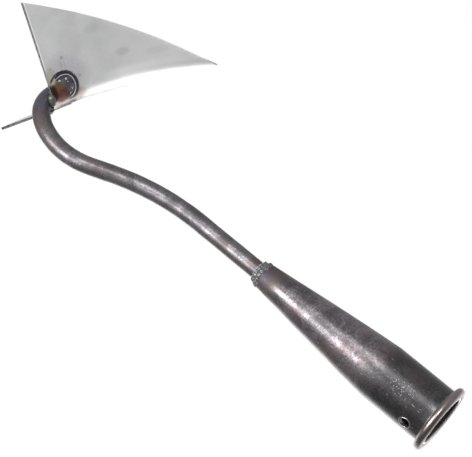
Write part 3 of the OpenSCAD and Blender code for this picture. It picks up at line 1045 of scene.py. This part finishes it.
def makeBurntMetal():
    # Slate-dark metal with a bright drawn line near the outside of the horseshoe
    material, tree, shader, place = startMaterial("burntMetal")
    parts = addNode(tree, "SeparateXYZ", {0: place}).outputs
    outward = calc(tree, "ABSOLUTE", parts[1])
    near = addNode(tree, "CombineXYZ", {0: parts[0], 1: outward, 2: parts[2]}).outputs[0]
    fromMark = distanceTo(tree, near, onWing(*weld["markCentre"], -1)[0])
    wobble = calc(tree, "SUBTRACT", noise(tree, place, 260.0, 3), 0.5)
    fromMark = calc(tree, "ADD", fromMark, calc(tree, "MULTIPLY", wobble, 1.0))
    clouds = noise(tree, place, 320.0, 4, 0.6)
    color = mixColor(tree, fade(tree, clouds, 0.4, 0.65), (0.03, 0.031, 0.038, 1), (0.075, 0.068, 0.082, 1))
    outer = fade(tree, fromMark, *markBands["rim"])
    color = mixColor(tree, outer, color, (0.012, 0.012, 0.014, 1))
    line = calc(tree, "MULTIPLY", fade(tree, fromMark, *markBands["lineInside"]),
                fade(tree, fromMark, *markBands["lineOutside"]))
    inner = calc(tree, "MULTIPLY", fade(tree, fromMark, *markBands["flecks"]), fade(tree, clouds, 0.5, 0.56))
    bright = calc(tree, "MAXIMUM", line, inner)
    color = mixColor(tree, calc(tree, "MULTIPLY", bright, 0.85), color, (0.62, 0.6, 0.66, 1))
    tree.links.new(color, shader.inputs["Base Color"])
    tree.links.new(calc(tree, "ADD", 0.55, calc(tree, "MULTIPLY", bright, 0.4)), shader.inputs["Metallic"])
    tree.links.new(calc(tree, "ADD", 0.26, calc(tree, "MULTIPLY", clouds, 0.25)), shader.inputs["Roughness"])
    bump(tree, shader, clouds, 0.4, 0.0002)
    return material


# Pieces

neckRod = makeNeck()
print("neck rod bent")
bladeSheet = makeBlade(makeBladeSteel(), makeCutEdge())
print("blade folded")
socketTube = makeSocket()
drillSocket(socketTube)
smoothShade(socketTube, socket["smoothAngle"])
print("socket spun and drilled")
ringWeld = makeRingWeld()
seatWeld = makeSeatWeld()
tacks = makeTacks()
markLeft = makeBurnMark("burnMarkLeft", 1, weld["leftStart"])
markRight = makeBurnMark("burnMarkRight", -1, weld["rightStart"])
spatterDrops = makeSpatter()
print("welds laid")

ringMetal = makeWeldMetal("ringWeldMetal", (0.055, 0.055, 0.056, 1), (0.85, 0.84, 0.83, 1), 0.62,
                          (-socket["length"] - 2.4 * mm, 3.5 * mm))
weldMetal = makeWeldMetal("weldMetal", (0.045, 0.05, 0.043, 1), (0.15, 0.15, 0.14, 1), 0.55)
burntMetal = makeBurntMetal()
dropMetal = makeWeldMetal("dropMetal", (0.09, 0.09, 0.095, 1), (0.7, 0.69, 0.68, 1), 0.5)
coat(neckRod, makeNeckSteel())
coat(socketTube, makeSocketSteel())
coat(ringWeld, ringMetal)
coat(seatWeld, weldMetal)
coat(tacks, weldMetal)
coat(markLeft, burntMetal)
coat(markRight, burntMetal)
coat(spatterDrops, dropMetal)
hand(neckRod, "neck_steel", "neck_rod")
hand(bladeSheet, "blade_steel", "blade")
hand(socketTube, "socket_steel", "socket")
hand(ringWeld, "weld_metal", "socket_weld")
hand(seatWeld, "weld_metal", "blade_weld")
hand(tacks, "weld_metal", "corner_welds")
hand(markLeft, "weld_metal", "weld_mark_left")
hand(markRight, "weld_metal", "weld_mark_right")
hand(spatterDrops, "weld_metal")
print("materials on")


# Stage: pale floor well below the work, soft lights and the camera

studio = {
    "floorZ": -0.6,
    "floorSize": 60.0,
    "floorSeen": 1.0,
    "floorFelt": 0.75,
    "skySeen": 1.0,
    "skyFelt": 0.25,
}
# Name, what it is aimed at, the side it shines from, distance, width and height, watts and color
softboxes = (
    ("keyStrip", (-0.09, 0, 0), (-0.62, 0.45, 0.84), 0.75, (0.36, 0.19), 13, (1, 0.98, 0.99)),
    ("sideStrip", (-0.025, 0, 0), (-0.272, 0.892, 0.36), 0.7, (0.22, 0.16), 4, (1, 1, 1)),
    ("lowFill", (-0.33, 0, -0.05), (0.65, -0.6, -0.47), 0.6, (0.6, 0.6), 1.4, (1, 1, 1)),
    ("rimStrip", (-0.12, 0, 0), (-0.25, -0.97, -0.03), 0.8, (1.0, 0.5), 4.2, (1, 1, 1)),
)
view = {
    "side": math.radians(15.801),
    "lift": math.radians(52.432),
    "roll": math.radians(-39.124),
    "lens": 118.45,
    "middle": (-0.181, 0, -0.015),
    "shiftRight": 0.000495,
    "shiftUp": -0.00045,
}


def seenAndFelt(tree, seen, felt):
    # The pale backdrop looks brighter straight on than in the work's reflections
    camera = tree.nodes.new("ShaderNodeLightPath").outputs["Is Camera Ray"]
    return calc(tree, "ADD", felt, calc(tree, "MULTIPLY", camera, seen - felt))


def makeFloor():
    bpy.ops.mesh.primitive_plane_add(size=studio["floorSize"], location=(0, 0, studio["floorZ"]))
    floor = bpy.context.object
    floor.name = "floor"
    material = bpy.data.materials.new("paleFloor")
    material.use_nodes = True
    tree = material.node_tree
    tree.nodes.clear()
    glow = addNode(tree, "Emission", {"Color": (1, 1, 1, 1)})
    tree.links.new(seenAndFelt(tree, studio["floorSeen"], studio["floorFelt"]), glow.inputs["Strength"])
    output = tree.nodes.new("ShaderNodeOutputMaterial")
    tree.links.new(glow.outputs[0], output.inputs[0])
    floor.data.materials.append(material)


def makeSky():
    world = bpy.data.worlds.new("studioSky")
    bpy.context.scene.world = world
    world.use_nodes = True
    tree = world.node_tree
    back = tree.nodes["Background"]
    back.inputs["Color"].default_value = (1, 1, 1, 1)
    tree.links.new(seenAndFelt(tree, studio["skySeen"], studio["skyFelt"]), back.inputs["Strength"])


def softbox(name, target, direction, distance, size, watts, color):
    lamp = bpy.data.lights.new(name, "AREA")
    lamp.shape = "RECTANGLE"
    lamp.size, lamp.size_y = size
    lamp.energy = watts
    lamp.color = color
    obj = bpy.data.objects.new(name, lamp)
    bpy.context.collection.objects.link(obj)
    away = Vector(direction).normalized()
    sideways = Vector((1, 0, 0)) - away * away.x
    sideways.normalize()
    turn = Matrix((sideways, away.cross(sideways), away)).transposed().to_4x4()
    obj.matrix_world = Matrix.Translation(Vector(target) + away * distance) @ turn
    obj.visible_camera = False


def makeCamera():
    side, lift, roll = view["side"], view["lift"], view["roll"]
    toEye = Vector((math.sin(side), math.cos(side) * math.sin(lift), math.cos(side) * math.cos(lift)))
    flat = (Vector((1, 0, 0)) - toEye * toEye.x).normalized()
    rise = toEye.cross(flat)
    right = math.cos(roll) * flat - math.sin(roll) * rise
    up = math.sin(roll) * flat + math.cos(roll) * rise
    lens = bpy.data.cameras.new("camera")
    lens.lens = view["lens"]
    camera = bpy.data.objects.new("camera", lens)
    bpy.context.collection.objects.link(camera)
    middle = Vector(view["middle"]) + view["shiftRight"] * right + view["shiftUp"] * up
    turn = Matrix((right, up, toEye)).transposed().to_4x4()
    camera.matrix_world = Matrix.Translation(middle + toEye) @ turn
    bpy.context.scene.camera = camera


makeFloor()
makeSky()
for box in softboxes:
    softbox(*box)
makeCamera()
bpy.context.scene.view_settings.view_transform = "Standard"
print("stage set")
